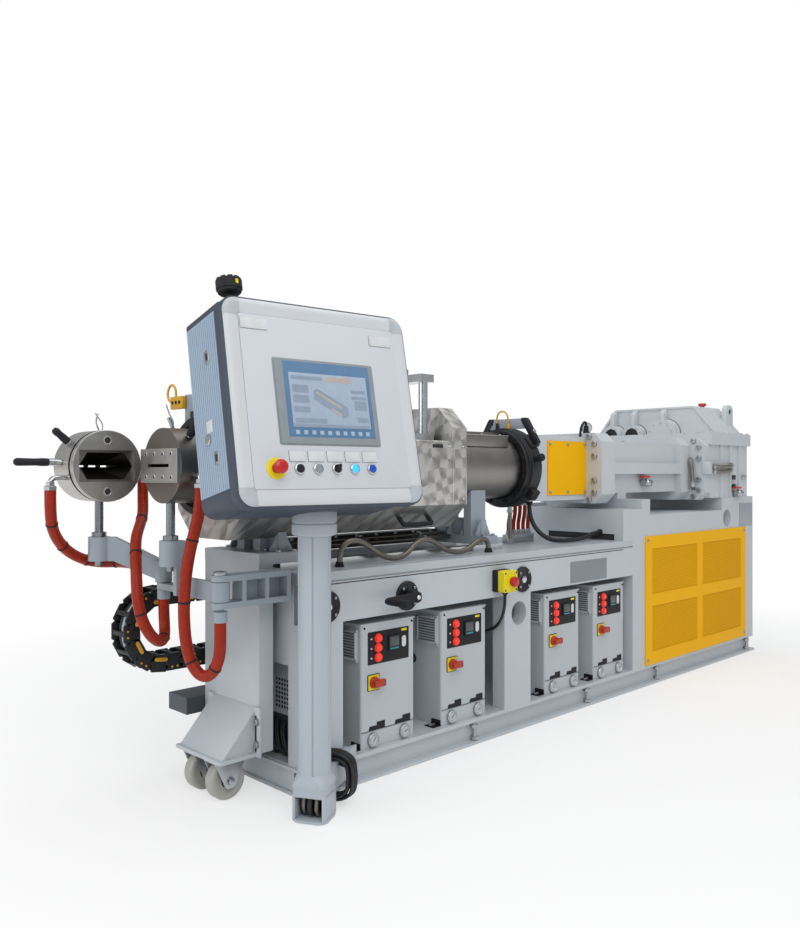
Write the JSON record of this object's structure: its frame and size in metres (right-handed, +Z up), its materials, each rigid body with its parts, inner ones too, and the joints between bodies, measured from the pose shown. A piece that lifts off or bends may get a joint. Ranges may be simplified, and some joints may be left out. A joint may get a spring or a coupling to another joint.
{
  "type": "screw extruder on a welded base",
  "caption": "Screw extruder on a steel base: sliding barrel carriage with hinged heads, gearbox drive, temperature units and a control console on a pole.",
  "frame": {"origin": "on the floor under the screw axis, half-way along the base", "axes": "+X from the heads towards the gearbox, -Y towards the operator, +Z up"},
  "size_m": [3.978, 1.1567, 1.5996],
  "materials": {
    "grey_paint": "satin light grey machine paint",
    "gearbox_paint": "satin pale grey casting paint",
    "table_steel": "machined bare steel",
    "yellow_paint": "satin safety yellow",
    "guard_steel": "engine-turned stainless sheet",
    "barrel_steel": "dull turned steel",
    "head_steel": "machined grey-brown steel",
    "black_oxide": "matt black",
    "dark_paint": "dark grey paint",
    "arm_paint": "grey paint",
    "bright_steel": "ground bright steel",
    "zinc": "zinc plated",
    "wheel_polymer": "beige-grey cast polymer",
    "chain_polymer": "black moulded polymer",
    "unit_paint": "fine-texture grey powder coat",
    "red_plastic": "red moulded plastic",
    "console_alu": "anodised and painted aluminium",
    "pole_alu": "anodised aluminium",
    "hose_red": "glossy brick-red silicone sleeve",
    "cable_black": "black cable jacket",
    "black_plastic": "black moulded plastic"
  },
  "bodies": {
    "base": {"floor_beams": "grey_paint", "cross_beams": "grey_paint", "floor_plate": "grey_paint", "front_posts": "grey_paint", "front_apron": "grey_paint", "rear_panel": "grey_paint", "end_panel": "grey_paint", "table_top": "table_steel", "drive_cabinet": "grey_paint", "guard_door": "yellow_paint", "feed_housing": "gearbox_paint", "feed_guard": "yellow_paint", "clamp_ring": "black_oxide", "clamp_bridge": "black_oxide", "thrust_housing": "gearbox_paint", "gearbox_housing": "gearbox_paint", "gearbox_cover": "gearbox_paint", "screw": "bright_steel", "drain_valves": "zinc", "guide_rails": "bright_steel", "crank_bearings": "black_oxide", "e_stop_box": "yellow_paint", "energy_chain": "chain_polymer", "chain_tray": "dark_paint", "console_foot": "pole_alu", "console_pole": "pole_alu", "console_box": "console_alu", "signal_beacon": "black_plastic", "cable_coil": "cable_black", "coil_lead": "cable_black", "e_stop_cable": "cable_black", "table_cable": "cable_black", "ring_cable": "cable_black", "temperature_unit_1": "unit_paint", "temperature_unit_2": "unit_paint", "temperature_unit_3": "unit_paint", "temperature_unit_4": "unit_paint"},
    "carriage": {"barrel": "barrel_steel", "barrel_guard": "guard_steel", "vent_unit": "bright_steel", "front_stand": "grey_paint", "rear_stand": "dark_paint", "support_column": "grey_paint", "caster_bracket": "zinc", "hinge_clevis": "arm_paint"},
    "head_arm": {"swing_arm": "arm_paint", "die_head": "head_steel", "die_plate": "head_steel", "red_hose_3": "hose_red"},
    "strip_head_arm": {"strip_arm": "arm_paint", "strip_head": "head_steel", "red_hose_1": "hose_red", "red_hose_2": "hose_red"},
    "wheel_near": {"caster_wheel_near": "wheel_polymer"},
    "wheel_far": {"caster_wheel_far": "wheel_polymer"},
    "crank": {"hand_crank": "black_oxide"},
    "switch_1": {"isolator_handle_1": "red_plastic"},
    "switch_2": {"isolator_handle_2": "red_plastic"},
    "switch_3": {"isolator_handle_3": "red_plastic"},
    "switch_4": {"isolator_handle_4": "red_plastic"}
  },
  "joints": [
    {"name": "carriage_slide", "type": "slide", "parent": "base", "child": "carriage", "axis": [-1, 0, 0], "range_m": [0, 0.8]},
    {"name": "head_arm_swing", "type": "hinge", "parent": "carriage", "child": "head_arm", "pos_m": [-1.93, -0.227, 0.681], "axis": [0, 0, 1], "range_deg": [0, 72]},
    {"name": "strip_head_swing", "type": "hinge", "parent": "head_arm", "child": "strip_head_arm", "pos_m": [-1.912, 0.143, 0.71], "axis": [0, 0, 1], "range_deg": [0, 90], "deforming": ["red_hose_2"]},
    {"name": "near_wheel_spin", "type": "hinge", "parent": "carriage", "child": "wheel_near", "pos_m": [-1.825, -0.088, 0.0625], "axis": [0, 1, 0], "continuous": true},
    {"name": "far_wheel_spin", "type": "hinge", "parent": "carriage", "child": "wheel_far", "pos_m": [-1.825, 0.038, 0.0625], "axis": [0, 1, 0], "continuous": true},
    {"name": "crank_turn", "type": "hinge", "parent": "base", "child": "crank", "pos_m": [-1.207, -0.32, 0.603], "axis": [0, -1, 0], "continuous": true},
    {"name": "switch_1_turn", "type": "hinge", "parent": "base", "child": "switch_1", "pos_m": [-1.344, -0.282, 0.317], "axis": [0, -1, 0], "range_deg": [0, 90]},
    {"name": "switch_2_turn", "type": "hinge", "parent": "base", "child": "switch_2", "pos_m": [-0.945, -0.282, 0.317], "axis": [0, -1, 0], "range_deg": [0, 90]},
    {"name": "switch_3_turn", "type": "hinge", "parent": "base", "child": "switch_3", "pos_m": [-0.302, -0.282, 0.317], "axis": [0, -1, 0], "range_deg": [0, 90]},
    {"name": "switch_4_turn", "type": "hinge", "parent": "base", "child": "switch_4", "pos_m": [0.07, -0.282, 0.317], "axis": [0, -1, 0], "range_deg": [0, 90]}
  ]
}
